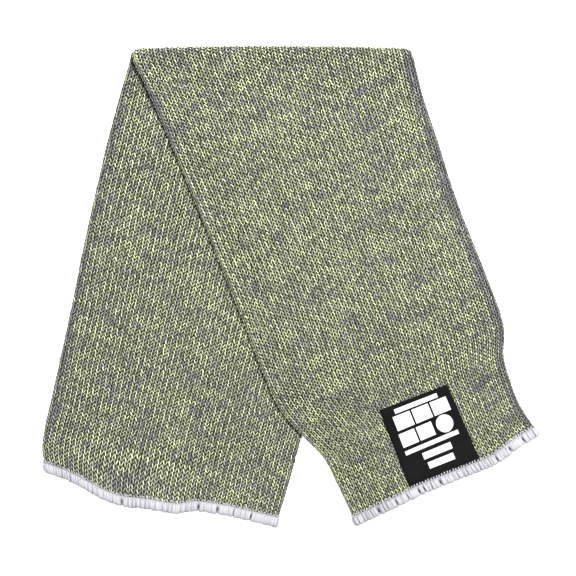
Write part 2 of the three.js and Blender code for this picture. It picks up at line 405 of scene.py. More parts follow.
def tube_points(travel, around, height, waves=1):
    """Points in millimetres, still centred on the fold. All three are arrays of one shape."""
    travel, around, height = np.broadcast_arrays(travel, around, height)
    points = np.empty(travel.shape + (3,))
    back = travel < -BEND_HALF
    front = travel > BEND_HALF
    bend = ~(back | front)
    points[back] = half_points(BACK, travel[back], around[back], height[back], waves)
    points[front] = half_points(FRONT, travel[front], around[front], height[front], waves)
    points[bend] = bend_points(travel[bend], around[bend], height[bend])
    return points


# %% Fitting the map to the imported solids
travel_grid, around_grid = np.meshgrid(
    np.linspace(-SLEEVE_LENGTH / 2, SLEEVE_LENGTH / 2, 401), np.linspace(0, 1, 200, endpoint=False)
)
outer = tube_points(travel_grid, around_grid, np.zeros_like(travel_grid)).reshape(-1, 3) * MM
lowest, highest = (np.array(corner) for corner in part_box("knit_tube"))
to_row = lowest - outer.min(0)
to_row[2] = 0


def pressed(points):
    """Flattens what would sink into the table."""
    points[..., 2] = np.maximum(points[..., 2], 0)
    return points


def on_sleeve(travel, around, height):
    """Row frame points in metres."""
    return pressed(tube_points(travel, around, height) * MM + to_row)


print("map box", (outer.min(0) + to_row).round(4), (outer.max(0) + to_row).round(4))
print("solid box", lowest.round(4), highest.round(4))

# %% [markdown]
# ## Wales and rows
#
# A knitted tube is columns of loops, called wales, and rings of loops, called courses. On this
# one a column is about 2.6 mm wide and a course about 1.8 mm tall. The courses stand square to
# the columns, but the fold crosses the sleeve aslant, so lines that run along the fold would
# slant through the knit. Each column is therefore measured from mouth to mouth, and the courses
# are placed at equal steps of its real length. The waves of the two mouths are left out of the
# measure, because they only pull the last few courses out of line.

# %% Counting the knit
WALES = 96
ROWS = 250
WALE_PITCH = 2.7
ROW_PITCH = 1.83
STATIONS_HALF = 110
STATIONS_BEND = 24

stations = np.concatenate(
    [
        np.linspace(-SLEEVE_LENGTH / 2, -BEND_HALF, STATIONS_HALF),
        np.linspace(-BEND_HALF, BEND_HALF, STATIONS_BEND)[1:-1],
        np.linspace(BEND_HALF, SLEEVE_LENGTH / 2, STATIONS_HALF),
    ]
)
columns = tube_points(stations[None, :], np.arange(WALES)[:, None] / WALES, 0.0, waves=0)
column_lengths = np.linalg.norm(np.diff(columns, axis=1), axis=2).cumsum(axis=1)
row_places = np.empty((WALES, ROWS + 1))
for wale in range(WALES):
    reached = np.concatenate([[0], column_lengths[wale]]) / column_lengths[wale, -1]
    row_places[wale] = np.interp(np.arange(ROWS + 1) / ROWS, reached, stations)
print("column lengths", column_lengths[:, -1].min().round(1), column_lengths[:, -1].max().round(1))


def knit_travel(wale, row):
    """How far along the sleeve a place in the knit lies."""
    row = np.clip(row, 0, ROWS - 0.001)
    left = np.floor(wale).astype(int)
    low = np.floor(row).astype(int)
    over, up = wale - left, row - low
    this, following = left % WALES, (left + 1) % WALES
    first = row_places[this, low] * (1 - up) + row_places[this, low + 1] * up
    second = row_places[following, low] * (1 - up) + row_places[following, low + 1] * up
    return first * (1 - over) + second * over


# %% [markdown]
# ## The cloth under the loops
#
# Seen close up, a knit is loops with small dark gaps between them, and through the gaps shows
# the back of the fabric. A grid rolled into a tube makes that ground. It lies 0.9 mm under the
# face, gets its wall from Solidify, and closes the sleeve from every side. Its rows are packed
# closer at the fold, where the cloth turns over in 8 mm.

# %% Small mesh helpers
def vertex_places(mesh):
    """All vertices as an array of points."""
    places = np.empty(len(mesh.vertices) * 3)
    mesh.vertices.foreach_get("co", places)
    return places.reshape(-1, 3)


def set_places(mesh, places):
    mesh.vertices.foreach_set("co", np.ascontiguousarray(places, np.float32).ravel())
    mesh.update()


def corner_table(mesh):
    """The vertex and the face of every corner."""
    vertex = np.empty(len(mesh.loops), np.int32)
    mesh.loops.foreach_get("vertex_index", vertex)
    sides = np.array([len(face.vertices) for face in mesh.polygons])
    return vertex, np.repeat(np.arange(len(sides)), sides)


def set_attribute(mesh, name, values):
    """A number or a vector on every vertex, for a material to read."""
    kind, key = ("FLOAT", "value") if values.ndim == 1 else ("FLOAT_VECTOR", "vector")
    attribute = mesh.attributes.new(name, kind, "POINT")
    attribute.data.foreach_set(key, np.ascontiguousarray(values, np.float32).ravel())


def merge_seam(piece, distance):
    """Joins the vertices that lie on each other."""
    deselect()
    bpy.context.view_layer.objects.active = piece
    piece.select_set(True)
    bpy.ops.object.mode_set(mode="EDIT")
    bpy.ops.mesh.select_all(action="SELECT")
    bpy.ops.mesh.remove_doubles(threshold=distance)
    bpy.ops.object.mode_set(mode="OBJECT")


def give_wall(piece, thickness):
    """Thickens a face-up sheet downwards and applies it. Returns how many vertices are the face's."""
    deselect()
    bpy.context.view_layer.objects.active = piece
    piece.select_set(True)
    face_count = len(piece.data.vertices)
    wall = piece.modifiers.new("wall", "SOLIDIFY")
    wall.thickness = thickness
    wall.offset = -1
    bpy.ops.object.modifier_apply(modifier="wall")
    return face_count


def lay_out_bake(mesh, face_count):
    """A layout of its own for the face, the back and the rim, which Solidify leaves on each other."""
    vertex, face = corner_table(mesh)
    uv = np.empty(len(vertex) * 2)
    mesh.uv_layers["sheet"].data.foreach_get("uv", uv)
    uv = uv.reshape(-1, 2)
    behind = vertex >= face_count
    share_behind = np.bincount(face, behind) / np.bincount(face)
    is_rim = (share_behind[face] > 0) & (share_behind[face] < 1)
    baked = np.stack([uv[:, 0] / 2 + 0.5 * behind, 0.03 + 0.97 * uv[:, 1]], axis=1)
    baked[is_rim] = np.stack([uv[:, 0], 0.01 * behind], axis=1)[is_rim]
    mesh.uv_layers.new(name="OFBake").data.foreach_set("uv", baked.ravel())
    set_attribute(mesh, "behind", (np.arange(len(mesh.vertices)) >= face_count).astype(float))


# %% Ground cloth
GROUND_DEPTH = 0.9
GROUND_ROWS = 160
BEND_SHARE = 0.05
BEND_REACH = 1.3
SEAM_REACH = 1e-5

deselect()
bpy.ops.mesh.primitive_grid_add(x_subdivisions=WALES, y_subdivisions=GROUND_ROWS, size=1)
ground = bpy.context.object
ground.name = "ground_cloth"
ground.data.uv_layers[0].name = "sheet"
flat = vertex_places(ground.data)
spread = BEND_HALF * BEND_REACH
travel = np.interp(
    flat[:, 1],
    [-0.5, -BEND_SHARE, BEND_SHARE, 0.5],
    [-SLEEVE_LENGTH / 2, -spread, spread, SLEEVE_LENGTH / 2],
)
set_places(ground.data, on_sleeve(travel, flat[:, 0] + 0.25, np.full(len(flat), -GROUND_DEPTH)))
merge_seam(ground, SEAM_REACH)
ground_face_count = give_wall(ground, (WALL - GROUND_DEPTH) * MM)
lay_out_bake(ground.data, ground_face_count)
deselect()
ground.select_set(True)
bpy.ops.object.shade_smooth()
print("ground cloth", len(ground.data.polygons), "faces", [round(d, 4) for d in ground.dimensions])


# %% [markdown]
# ## The stitches
#
# Each loop shows as a V of two slanting legs of yarn. Cloth like this could be faked with a
# bump pattern, but the little legs are what catches the light, so they are modelled: one
# spindle of ten vertices, copied 47 232 times. Blender would be slow with that many objects, so
# the copies are reckoned as arrays and written as four meshes, one for each side of each half.
#
# The legs of the V meet towards the wrist. Their narrow end lies over the neighbouring loop and
# their wide end dips under the next one. Seen with the wrist below, the left leg of a V is bold
# and the right one is shy: thinner and deeper. The shy leg is also painted greyer, as painted
# shade, and the bold one a little limier, as painted light. That gives the slanting grain that
# the photograph shows. Every leg also gets a number for its yarn, from lime to grey. It comes from
# seeded noise, and one part of that is smoothed more across than along, which gathers the grey
# into the short flecks of a marl. The painted shade and light of the two legs are added to it.

# %% One spindle of yarn
# The spindle's two rings lie at this share of its half length.
RING_AT = 0.55

deselect()
bpy.ops.mesh.primitive_cylinder_add(vertices=4, radius=1, depth=2 * RING_AT, end_fill_type="TRIFAN")
leg = bpy.context.object
leg.name = "leg_pattern"
bpy.ops.object.mode_set(mode="EDIT")
bpy.ops.mesh.select_all(action="DESELECT")
bpy.ops.object.mode_set(mode="OBJECT")
for vertex in leg.data.vertices:
    vertex.select = math.hypot(vertex.co.x, vertex.co.y) < 0.1
bpy.ops.object.mode_set(mode="EDIT")
bpy.ops.transform.resize(value=(1, 1, 1 / RING_AT), center_override=(0, 0, 0))
bpy.ops.object.mode_set(mode="OBJECT")
leg_shape = vertex_places(leg.data)
print("leg", len(leg_shape), "vertices, length", leg_shape[:, 2].min(), leg_shape[:, 2].max())


# %% Joining many copies
def joined_copies(pattern, name, places, cells=(0, 0, 1, 1)):
    """One piece that repeats a pattern for each row of places, which is copies × vertices × 3.

    Each copy gets a square cell of its own in the named part of the bake layout.
    """
    copies, count = places.shape[:2]
    vertex, face = corner_table(pattern.data)
    sides = np.bincount(face)
    uv = np.empty(len(vertex) * 2)
    pattern.data.uv_layers[0].data.foreach_get("uv", uv)

    mesh = bpy.data.meshes.new(name)
    mesh.vertices.add(copies * count)
    mesh.loops.add(copies * len(vertex))
    mesh.loops.foreach_set("vertex_index", (np.arange(copies)[:, None] * count + vertex).ravel())
    mesh.polygons.add(copies * len(sides))
    ends = np.cumsum(np.tile(sides, copies))
    mesh.polygons.foreach_set("loop_start", np.concatenate([[0], ends[:-1]]))
    set_places(mesh, places.reshape(-1, 3))

    u0, v0, u1, v1 = cells
    across = math.ceil(math.sqrt(copies * (u1 - u0) / (v1 - v0)))
    down = math.ceil(copies / across)
    cell = np.stack([np.arange(copies) % across, np.arange(copies) // across], axis=1)
    placed = (uv.reshape(1, -1, 2) * 0.9 + 0.05 + cell[:, None]) / (across, down)
    placed = placed * (u1 - u0, v1 - v0) + (u0, v0)
    mesh.uv_layers.new(name="OFBake").data.foreach_set("uv", placed.ravel())
    mesh.shade_smooth()
    mesh.validate()

    piece = bpy.data.objects.new(name, mesh)
    bpy.context.scene.collection.objects.link(piece)
    return piece


# %% How the marl falls
# Shares of grey: the middle, the flecks' and the single legs' spread, and more at the arm's end.
MARL_MIDDLE = 0.455
MARL_FLECKS = 0.13
MARL_SINGLE = 0.22
MARL_ARM_END = 0.07
MARL_ARM_ROWS = 90
DRIFT_ACROSS = 0.05
DRIFT_ALONG = 0.07

rng = np.random.default_rng(18)


def smoothed(noise, across, along):
    """Blurs noise on the knit, round the tube and along it, and keeps its spread at 1."""
    for axis, reach in ((0, across), (1, along)):
        steps = np.arange(-math.ceil(3 * reach), math.ceil(3 * reach) + 1)
        weights = np.exp(-0.5 * (steps / reach) ** 2)
        noise = sum(w * np.roll(noise, s, axis) for s, w in zip(steps.astype(int), weights))
    return (noise - noise.mean()) / noise.std()


legs_round = 2 * WALES
streaks = smoothed(rng.normal(size=(legs_round, ROWS)), 2.2, 0.5)
single = rng.normal(size=(legs_round, ROWS))
marl = MARL_MIDDLE + MARL_FLECKS * streaks + MARL_SINGLE * single

# Where the grey strand shows alone, and one place of painted shade: middle and half reach in wales and
# in rows, and how much.
GREY_AND_PAINTED_SHADE_PLACES = [
    (-23.6, 190, 1.3, 58, 0.6),
    # This place, on the lower half's left side fold, is painted shade for a fold turned from the key
    # lamp.
    (24.4, 60, 0.9, 52, 0.4),
    (23.6, 131, 0.9, 10, 0.5),
    (-16.2, 231.8, 1.2, 0.6, 1.3),
    (-18.2, 230.6, 1.2, 0.6, 1.3),
    (-17.5, 236.8, 1.4, 0.2, 0.7),
]
leg_wales = np.arange(legs_round)[:, None] / 2
leg_rows = np.arange(ROWS)[None]
for wale, row, half_wales, half_rows, amount in GREY_AND_PAINTED_SHADE_PLACES:
    off = np.abs((leg_wales - wale + WALES / 2) % WALES - WALES / 2)
    near = (1 - rise(off, half_wales, 0.7)) * (1 - rise(np.abs(leg_rows - row), half_rows, 0.6))
    marl = marl + amount * near
marl = marl + MARL_ARM_END * (1 - rise(leg_rows, 0, MARL_ARM_ROWS))

# Real loops are never in perfect line, so they drift a little, each with its neighbours.
drift_across = DRIFT_ACROSS * smoothed(rng.normal(size=(legs_round, ROWS)), 5, 3)
drift_along = DRIFT_ALONG * smoothed(rng.normal(size=(legs_round, ROWS)), 2.5, 2)
print("marl", marl.min().round(2), marl.max().round(2))

# %% Placing the legs
BOLD_HALF_WIDTH = 0.39
SHY_HALF_WIDTH = 0.27
LEG_HALF_THICKNESS = 0.45
LEG_MIDDLE_HEIGHT = -0.48
LEG_CLIMB = 0.2
BOLD_HEIGHT = 0.04
SHY_HEIGHT = -0.3
# Grey added to a leg's share: painted light on the bold legs, painted shade on the shy ones, which lie
# deeper.
BOLD_PAINTED_LIGHT = -0.08
SHY_PAINTED_SHADE = 0.14
END_JITTER = 0.05
HEIGHT_JITTER = 0.05
WIDTH_SPREAD = 0.12
# Each leg's ends in shares of a wale and a row from the middle of its loop.
NARROW_END = (0.04, 0.7)
WIDE_END = (0.47, -0.74)
# The wrist's narrower loops need a little more dark between the legs to look alike.
SHORTER_AT_WRIST = 0.1
SHORTER_FROM_ROW = 190
SHORTER_ROWS = 38
FIRST_ROW = 2
LAST_ROW = ROWS - 2


def stitch_legs(name, rows, wales):
    """The legs of all loops in the given rows and columns, as one piece."""
    wale, row, hand = (a.ravel() for a in np.meshgrid(wales, rows, (-1, 1), indexing="ij"))
    number = len(wale)
    narrow = np.stack([hand * NARROW_END[0], np.full(number, NARROW_END[1])], axis=1)
    wide = np.stack([hand * WIDE_END[0], np.full(number, WIDE_END[1])], axis=1)
    narrow = narrow + rng.normal(0, END_JITTER, (number, 2))
    wide = wide + rng.normal(0, END_JITTER, (number, 2))
    shorter = SHORTER_AT_WRIST * rise(row, SHORTER_FROM_ROW, SHORTER_ROWS)
    axis = (narrow - wide) / 2 * (1 - shorter[:, None])
    in_mm = axis * (WALE_PITCH, ROW_PITCH)
    square = np.stack([-in_mm[:, 1], in_mm[:, 0]], axis=1)
    square /= np.linalg.norm(square, axis=1, keepdims=True)
    bold = hand > 0
    half_width = np.where(bold, BOLD_HALF_WIDTH, SHY_HALF_WIDTH)
    half_width = half_width * rng.normal(1, WIDTH_SPREAD, number)
    square = square * half_width[:, None] / (WALE_PITCH, ROW_PITCH)

    cell = (2 * wale + bold) % legs_round, row
    middle = np.stack([wale, row], axis=1) + 0.5 + (narrow + wide) / 2
    middle = middle + np.stack([drift_across[cell], drift_along[cell]], axis=1)
    knit = middle[:, None] + axis[:, None] * leg_shape[:, 2:3] + square[:, None] * leg_shape[:, 0:1]
    height = LEG_MIDDLE_HEIGHT + LEG_CLIMB * leg_shape[:, 2] + LEG_HALF_THICKNESS * leg_shape[:, 1]
    height = height + np.where(bold, BOLD_HEIGHT, SHY_HEIGHT)[:, None]
    height = height + rng.normal(0, HEIGHT_JITTER, (number, 1))
    travel = knit_travel(knit[..., 0], knit[..., 1])
    piece = joined_copies(leg, name, on_sleeve(travel, knit[..., 0] / WALES, height))

    # The marl's grey, plus the painted light of a bold leg and the painted shade of a shy leg.
    grey_and_painted_shading = marl[cell] + np.where(bold, BOLD_PAINTED_LIGHT, SHY_PAINTED_SHADE)
    count = len(leg_shape)
    set_attribute(piece.data, "yarn_and_painted_shading", np.repeat(grey_and_painted_shading, count))
    set_attribute(piece.data, "lot", np.repeat(rng.random(number), count))
    set_attribute(piece.data, "strand", np.tile(leg_shape * (0.56, 0.42, 1.3), (number, 1)))
    print(name, number, "legs", len(piece.data.polygons), "faces")
    return piece


quarter = WALES // 4
outer_wales = np.arange(-quarter, quarter)
inner_wales = np.arange(quarter, WALES - quarter)
arm_rows = np.arange(FIRST_ROW, ROWS // 2)
wrist_rows = np.arange(ROWS // 2, LAST_ROW)
stitches = [
    stitch_legs("stitches_arm_half_top", arm_rows, inner_wales),
    stitch_legs("stitches_arm_half_under", arm_rows, outer_wales),
    stitch_legs("stitches_wrist_half_top", wrist_rows, outer_wales),
    stitch_legs("stitches_wrist_half_under", wrist_rows, inner_wales),
]

# %% [markdown]
# The yarn is taken to be matt and slightly hairy. What it is spun of can't be seen. Two strands
# lie side by side in it, so a leg is never one even colour. A wave along the strand stands for
# their twist, and carries the lime strand into the grey one. Legs also differ in brightness.
# Fibres as fine as real ones would vanish in the render, so the noise that roughens the yarn
# has grains of 0.3 mm.

# %% Marl yarn
LIME = "#dce2af"
GREY = "#8a8a90"
DEEP_SHADE = "#212800"

marl_yarn, tree, shader = new_material("marl_yarn")
yarn_and_painted_shading = add_node(tree, "ShaderNodeAttribute", {"attribute_name": "yarn_and_painted_shading"})
lot = add_node(tree, "ShaderNodeAttribute", {"attribute_name": "lot"})
strand = add_node(tree, "ShaderNodeAttribute", {"attribute_name": "strand"})
parts = add_node(tree, "ShaderNodeSeparateXYZ", Vector=strand.outputs["Vector"])
along = add_node(tree, "ShaderNodeMath", {"operation": "MULTIPLY"}, i0=parts.outputs["Z"], i1=2.6)
aslant = add_node(
    tree, "ShaderNodeMath", {"operation": "MULTIPLY_ADD"},
    i0=parts.outputs["X"], i1=3.0, i2=along.outputs[0],
)
started = add_node(
    tree, "ShaderNodeMath", {"operation": "MULTIPLY_ADD"},
    i0=lot.outputs["Fac"], i1=6.3, i2=aslant.outputs[0],
)
twist = add_node(tree, "ShaderNodeMath", {"operation": "SINE"}, i0=started.outputs[0])
mixed = add_node(
    tree, "ShaderNodeMath", {"operation": "MULTIPLY_ADD"},
    i0=twist.outputs[0], i1=0.16, i2=yarn_and_painted_shading.outputs["Fac"],
)
turned = add_node(tree, "ShaderNodeMapRange", {}, Value=mixed.outputs[0], From_Min=0.0, From_Max=1.0)
colour = add_node(
    tree, "ShaderNodeMix", {"data_type": "RGBA"}, i0=turned.outputs[0], i6=linear(LIME), i7=linear(GREY)
)
# Painted shade: the lower flank of each leg, and its ends where they dip under the next loop, are mixed
# towards DEEP_SHADE.
from_end = add_node(tree, "ShaderNodeMath", {"operation": "ABSOLUTE"}, i0=parts.outputs["Z"])
past_end = add_node(
    tree, "ShaderNodeMath", {"operation": "SUBTRACT", "use_clamp": True}, i0=from_end.outputs[0], i1=0.7
)
level = add_node(
    tree, "ShaderNodeMath", {"operation": "MULTIPLY_ADD"},
    i0=past_end.outputs[0], i1=-0.25, i2=parts.outputs["Y"],
)
painted_flank_shade = add_node(
    tree, "ShaderNodeMapRange", {"interpolation_type": "SMOOTHSTEP"},
    Value=level.outputs[0], From_Min=0.36, From_Max=-0.02,
)
shade = add_node(tree, "ShaderNodeMapRange", Value=lot.outputs["Fac"], To_Min=0.66, To_Max=1.2)
shaded = add_node(
    tree, "ShaderNodeVectorMath", {"operation": "SCALE"}, i0=colour.outputs[2], Scale=shade.outputs[0]
)
painted_shade_mix = add_node(
    tree, "ShaderNodeMix", {"data_type": "RGBA"},
    i0=painted_flank_shade.outputs[0], i6=shaded.outputs[0], i7=linear(DEEP_SHADE),
)
tree.links.new(painted_shade_mix.outputs[2], shader.inputs["Base Color"])
place = add_node(tree, "ShaderNodeTexCoord")
fibres = add_node(tree, "ShaderNodeTexNoise", Vector=place.outputs["Object"], Scale=3300, Detail=1.0)
twisted = add_node(
    tree, "ShaderNodeMath", {"operation": "MULTIPLY_ADD"},
    i0=twist.outputs[0], i1=0.3, i2=fibres.outputs["Fac"],
)
bump = add_node(tree, "ShaderNodeBump", Strength=0.5, Distance=0.0002, Height=twisted.outputs[0])
tree.links.new(bump.outputs["Normal"], shader.inputs["Normal"])
shader.inputs["Roughness"].default_value = 0.85
shader.inputs["Sheen Weight"].default_value = 0.15
for piece in stitches:
    piece.data.materials.append(marl_yarn)

# %% [markdown]
# The ground shows two ways. Between the legs it is yarn in deep shade. Inside the sleeve it is
# the purl side of the knit, the same yarn in small cross ridges.

# %% Knit ground
knit_ground, tree, shader = new_material("knit_ground")
behind = add_node(tree, "ShaderNodeAttribute", {"attribute_name": "behind"})
sheet_uv = add_node(tree, "ShaderNodeUVMap", {"uv_map": "sheet"})
scaled = add_node(
    tree, "ShaderNodeVectorMath", {"operation": "MULTIPLY"},
    i0=sheet_uv.outputs["UV"], i1=(WALES, ROWS, 0),
)
ridges = add_node(
    tree, "ShaderNodeTexWave", {"bands_direction": "Y"},
    Vector=scaled.outputs[0], Scale=0.314, Distortion=1.5,
)
grain = add_node(tree, "ShaderNodeTexNoise", Vector=scaled.outputs[0], Scale=0.8, Detail=2.0)
purl = add_node(
    tree, "ShaderNodeMix", {"data_type": "RGBA"},
    i0=grain.outputs["Fac"], i6=linear("#a9ad86"), i7=linear("#6b6d68"),
)
colour = add_node(
    tree, "ShaderNodeMix", {"data_type": "RGBA"},
    i0=behind.outputs["Fac"], i6=linear("#1a1f02"), i7=purl.outputs[2],
)
tree.links.new(colour.outputs[2], shader.inputs["Base Color"])
bump = add_node(tree, "ShaderNodeBump", Strength=0.6, Distance=0.0004, Height=ridges.outputs["Fac"])
tree.links.new(bump.outputs["Normal"], shader.inputs["Normal"])
shader.inputs["Roughness"].default_value = 0.9
ground.data.materials.append(knit_ground)

# %% [markdown]
# ## The hems
#
# An overlock machine binds the raw edge with thread that wraps over it, close turn by close
# turn, with a row of small loops along the inner line. One turn is a cylinder cut into eight
# lengths and bent round the edge as a C. It is copied about every 1.25 mm, with a thin bed of
# thread beneath, so that no cloth shows between two turns. The turns swell and shrink in slow
# puffs. In a few places, which the photograph shows, two of them part and leave a slot, where
# the bed is painted near black as painted shade.

# %% One turn of thread, one bead of thread
deselect()
bpy.ops.mesh.primitive_cylinder_add(vertices=6, radius=1, depth=2, end_fill_type="TRIFAN")
turn = bpy.context.object
turn.name = "turn_pattern"
bpy.ops.object.mode_set(mode="EDIT")
bpy.context.tool_settings.mesh_select_mode = (False, True, False)
bpy.ops.mesh.select_all(action="DESELECT")
bpy.ops.object.mode_set(mode="OBJECT")
for edge in turn.data.edges:
    first, second = (turn.data.vertices[v].co for v in edge.vertices)
    edge.select = abs(first.z - second.z) > 1.5
bpy.ops.object.mode_set(mode="EDIT")
bpy.ops.mesh.subdivide(number_cuts=7)
bpy.context.tool_settings.mesh_select_mode = (True, False, False)
bpy.ops.object.mode_set(mode="OBJECT")
turn_shape = vertex_places(turn.data)
print("turn", len(turn_shape), "vertices", len(turn.data.polygons), "faces")

deselect()
bpy.ops.mesh.primitive_ico_sphere_add(subdivisions=1, radius=1)
bead = bpy.context.object
bead.name = "bead_pattern"
bead_shape = vertex_places(bead.data)

# %% Where the hem lies
HEM_LIP = 0.8
TURN_PITCH = 1.25
BEAD_PITCH = 1.5
PUFF_PITCH = 5.6
SLOT_HALF_WIDTH = 1.0
SLOT_REACH = 1.2
TURN_HALF_WIDTH = 0.84
TURN_HALF_THICKNESS = 0.34
BEAD_PAST = -4.85
BEAD_OUT = 1.24
BEAD_HALF_SIZES = (0.5, 0.62, 0.34)


def unit(vectors):
    return vectors / np.linalg.norm(vectors, axis=-1, keepdims=True)


def on_hem(half, around, out, past):
    """Points on a bound mouth: millimetres out of the wall's middle, and past the raw edge."""
    end = half["outward"] * SLEEVE_LENGTH / 2
    outer_edge = on_sleeve(end, around, 0.0)
    inner_edge = on_sleeve(end, around, -WALL)
    middle = (outer_edge + inner_edge) / 2
    outwards = unit(outer_edge - inner_edge)
    onwards = unit(middle - on_sleeve(end - half["outward"], around, -WALL / 2))
    return pressed(middle + (outwards * out[..., None] + onwards * past[..., None]) * MM)


# The turn's path from outside to inside: out of the wall's middle, past the raw edge.
HEM_PATH = np.array(
    [
        (0.95, -4.05),
        (1.42, -2.4),
        (1.36, -0.6),
        (1.0, 0.35),
        (0.0, HEM_LIP - 0.1),
        (-1.0, 0.35),
        (-1.36, -0.6),
        (-1.42, -2.4),
        (-0.95, -4.05),
    ]
)


def hem(name, half, slots):
    """The bed, the turns and the beads of one mouth. Slots are shares round where turns part."""
    edge = on_sleeve(half["outward"] * SLEEVE_LENGTH / 2, np.linspace(0, 1, 400), 0.0)
    length = np.linalg.norm(np.diff(edge, axis=0), axis=1).sum() / MM
    turns = round(length / TURN_PITCH)
    at = (np.arange(turns) + rng.normal(0, 0.16, turns)) / turns
    off = ((at[:, None] - np.array(slots)[None] + 0.5) % 1 - 0.5) * length
    parting = (np.sign(off) * np.exp(-np.abs(off) / SLOT_REACH)).sum(axis=1)
    at = at + parting * SLOT_HALF_WIDTH / length

    across, thick, along = turn_shape.T
    station = (along + 1) / 2 * (len(HEM_PATH) - 1)
    index = np.arange(len(HEM_PATH))
    path_out = np.interp(station, index, HEM_PATH[:, 0])
    path_past = np.interp(station, index, HEM_PATH[:, 1])
    ahead = np.gradient(HEM_PATH, axis=0)
    normal_out = -np.interp(station, index, ahead[:, 1])
    normal_past = np.interp(station, index, ahead[:, 0])
    size = np.hypot(normal_out, normal_past)
    thin = TURN_HALF_THICKNESS * np.sqrt(np.clip(1.02 - (np.abs(along)) ** 6, 0, 1))
    puff = np.abs(np.sin(at * length / PUFF_PITCH * np.pi + rng.normal(0, 0.15, turns)))[:, None]
    width = TURN_HALF_WIDTH * rng.normal(1, WIDTH_SPREAD, turns)[:, None]
    lean = rng.normal(0.3, 0.3, turns)[:, None]
    swell = 0.4 * puff - 0.2 + rng.normal(0, 0.1, turns)[:, None]
    sideways = width * across * (1 - 0.35 * np.abs(along) ** 4) + lean * along
    around = at[:, None] - half["outward"] * sideways / length
    out = path_out - normal_out / size * (thin * thick) + swell * np.sign(path_out)
    past = path_past - normal_past / size * (thin * thick) + rng.normal(0, 0.08, turns)[:, None]
    past = past + (0.3 * puff - 0.2) * rise(past, -3, 3)
    wraps = joined_copies(turn, name, on_hem(half, around, out, past), (0, 0, 1, 0.8))
    set_attribute(wraps.data, "strand", np.tile(turn_shape * (0.6, 0.34, 5.5), (turns, 1)))
    set_attribute(wraps.data, "lot", np.repeat(rng.random(turns), len(turn_shape)))
    set_attribute(wraps.data, "slot_shade", np.zeros(turns * len(turn_shape)))

    loops = round(length / BEAD_PITCH)
    places = (np.arange(loops) + rng.normal(0, 0.08, loops))[:, None] / loops
    half_long, half_deep, half_thick = BEAD_HALF_SIZES
    long = bead_shape[:, 0] * half_long + 0.3 * bead_shape[:, 1]
    deep = bead_shape[:, 1] * half_deep + rng.normal(0, 0.1, loops)[:, None]
    sides = []
    for face in (1, -1):
        out = face * (BEAD_OUT + half_thick * bead_shape[:, 2]) * np.ones_like(deep)
        sides.append(on_hem(half, places + long / length, out, BEAD_PAST + deep))
    beads = joined_copies(bead, name + "_beads", np.concatenate(sides), (0, 0.8, 1, 0.93))
    set_attribute(beads.data, "strand", np.tile(bead_shape[:, [0, 2, 1]] * 0.5, (2 * loops, 1)))
    set_attribute(beads.data, "lot", np.repeat(rng.random(2 * loops), len(bead_shape)))
    set_attribute(beads.data, "slot_shade", np.zeros(2 * loops * len(bead_shape)))

    deselect()
    bpy.ops.mesh.primitive_grid_add(x_subdivisions=3 * turns, y_subdivisions=12, size=1)
    bed = bpy.context.object
    flat = vertex_places(bed.data)
    station = (flat[:, 1] + 0.5) * (len(HEM_PATH) - 1)
    inner = HEM_PATH * (0.86, 1) - (0, 0.3)
    out = np.interp(station, index, inner[:, 0])
    past = np.interp(station, index, inner[:, 1])
    around = -half["outward"] * flat[:, 0] + 0.25
    set_places(bed.data, on_hem(half, around, out, past))
    uv = np.empty(len(bed.data.loops) * 2)
    bed.data.uv_layers[0].data.foreach_get("uv", uv)
    uv = uv.reshape(-1, 2) * (1, 0.05) + (0, 0.94)
    bed.data.uv_layers[0].data.foreach_set("uv", uv.ravel())
    bed.data.uv_layers[0].name = "OFBake"
    gap = np.abs((around[:, None] - np.array(slots)[None] + 0.5) % 1 - 0.5) * length
    set_attribute(bed.data, "strand", np.stack([flat[:, 0] * 0, flat[:, 0] * 0, flat[:, 1] * 11], 1))
    set_attribute(bed.data, "lot", np.zeros(len(flat)))
    # Where two turns part, the bed is painted near black: painted shade in the slot.
    inside = rise(past, -3.4, 0.6) * (1 - rise(past, -0.8, 0.5))
    set_attribute(bed.data, "slot_shade", (1 - rise(gap.min(axis=1), 0.3, 0.4)) * inside)
    bed.data.shade_smooth()
    deselect()
    for part in (wraps, beads, bed):
        part.select_set(True)
    bpy.context.view_layer.objects.active = wraps
    bpy.ops.object.join()
    print(name, turns, "turns", len(wraps.data.polygons), "faces")
    return wraps


ARM_SLOTS = [0.426, 0.5813, 0.62, 0.6555, 0.6907]
WRIST_SLOTS = [0.182, 0.1333, 0.1028, 0.074, 0.0605, 0.0187, -0.128, -0.1658, -0.205]
arm_hem = hem("thread_turns_arm_mouth", BACK, ARM_SLOTS)
wrist_hem = hem("thread_turns_wrist_mouth", FRONT, WRIST_SLOTS)

# %% [markdown]
# The overlock thread is white and soft, with a fine twist. The shade between two turns is
# faintly violet, as in the photograph. The base tones are well under white, because the strong
# lamp brings them up to it.

# %% Overlock thread
overlock_thread, tree, shader = new_material("overlock_thread")
lot = add_node(tree, "ShaderNodeAttribute", {"attribute_name": "lot"})
slot_shade = add_node(tree, "ShaderNodeAttribute", {"attribute_name": "slot_shade"})
strand = add_node(tree, "ShaderNodeAttribute", {"attribute_name": "strand"})
parts = add_node(tree, "ShaderNodeSeparateXYZ", Vector=strand.outputs["Vector"])
along = add_node(tree, "ShaderNodeMath", {"operation": "MULTIPLY"}, i0=parts.outputs["Z"], i1=7.0)
aslant = add_node(
    tree, "ShaderNodeMath", {"operation": "MULTIPLY_ADD"},
    i0=parts.outputs["X"], i1=6.0, i2=along.outputs[0],
)
twist = add_node(tree, "ShaderNodeMath", {"operation": "SINE"}, i0=aslant.outputs[0])
tone = add_node(
    tree, "ShaderNodeMix", {"data_type": "RGBA"},
    i0=lot.outputs["Fac"], i6=linear("#a9a9ad"), i7=linear("#a1a0a7"),
)
